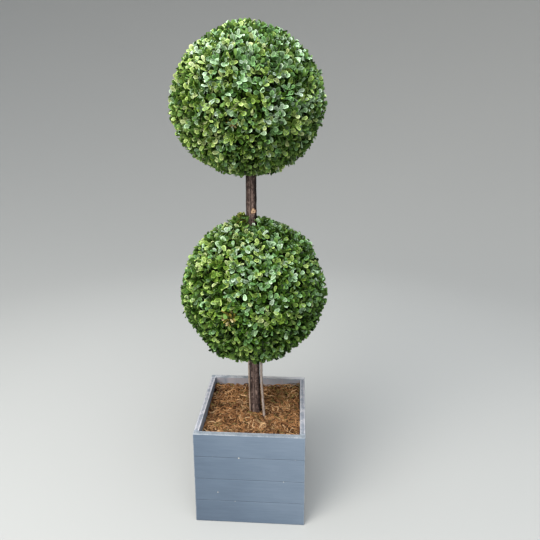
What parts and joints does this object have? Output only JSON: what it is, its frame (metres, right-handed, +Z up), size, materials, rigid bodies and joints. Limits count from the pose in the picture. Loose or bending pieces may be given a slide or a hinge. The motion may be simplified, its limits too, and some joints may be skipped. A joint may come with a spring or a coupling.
{
  "type": "artificial double ball boxwood topiary in a square planter",
  "caption": "Artificial topiary of two clipped leafy balls one above the other on a bundle of thin wood stems, set in a square boarded planter topped with coir.",
  "frame": {"origin": "middle of the planter's flat underside, on the ground", "axes": "+Z up along the stems, -Y out of the planter's front face, +X to the right as seen from the front"},
  "size_m": [0.2808, 0.2782, 0.9277],
  "materials": {
    "painted_wood": "matte",
    "fill": "matte",
    "coir": "matte",
    "dark_bark": "matte",
    "grey_bark": "matte",
    "pale_bark": "matte",
    "foliage": "satin"
  },
  "bodies": {
    "root": {"planter": "painted_wood", "planter_fill": "fill", "coir_topping": "coir", "main_stem": "dark_bark", "second_stem": "grey_bark", "right_side_stem": "pale_bark", "left_side_stem": "pale_bark", "lower_ball": "foliage", "upper_ball": "foliage"}
  },
  "joints": []
}
